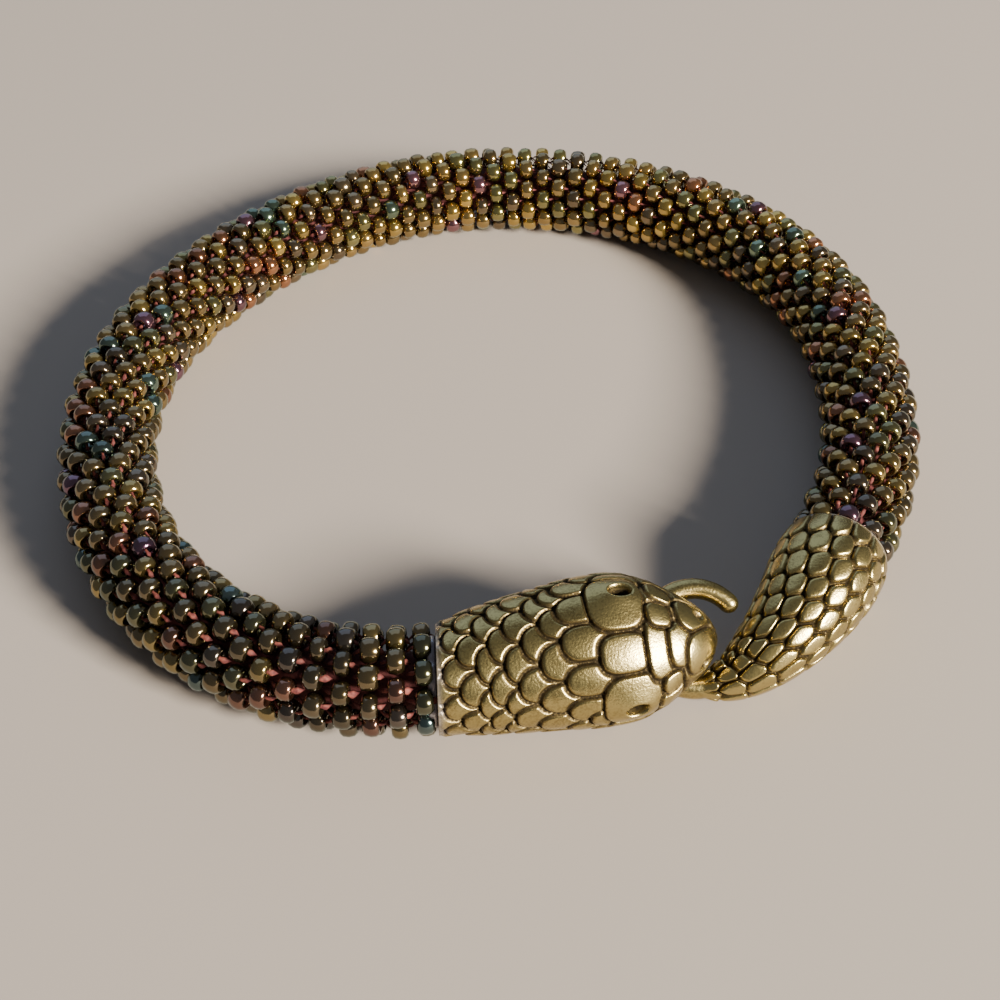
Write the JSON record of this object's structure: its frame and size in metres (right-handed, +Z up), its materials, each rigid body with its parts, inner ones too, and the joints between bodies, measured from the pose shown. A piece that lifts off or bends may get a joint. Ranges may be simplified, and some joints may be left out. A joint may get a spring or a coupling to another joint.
{
  "type": "snake bracelet",
  "caption": "Bangle-like bracelet of beaded rope whose two cast snake caps, a head and a tail, close as the tail's hook passes through the open mouth.",
  "frame": {"origin": "under the middle of the bracelet's box, on the surface it lies on", "axes": "+Z up through the wrist opening, +X towards the tail's side of the loop, the head on the -Y side"},
  "size_m": [0.0786, 0.0778, 0.011],
  "materials": {
    "antique_brass": "brushed antique, dark in the grooves",
    "beads": "gloss, metallic iris",
    "thread": "matt",
    "glue": "gloss"
  },
  "bodies": {
    "root": {"bead_rope": "beads", "thread_core": "thread", "glue_ring_head": "glue", "glue_ring_tail": "glue", "snake_head": "antique_brass", "snake_tail": "antique_brass"}
  },
  "joints": []
}
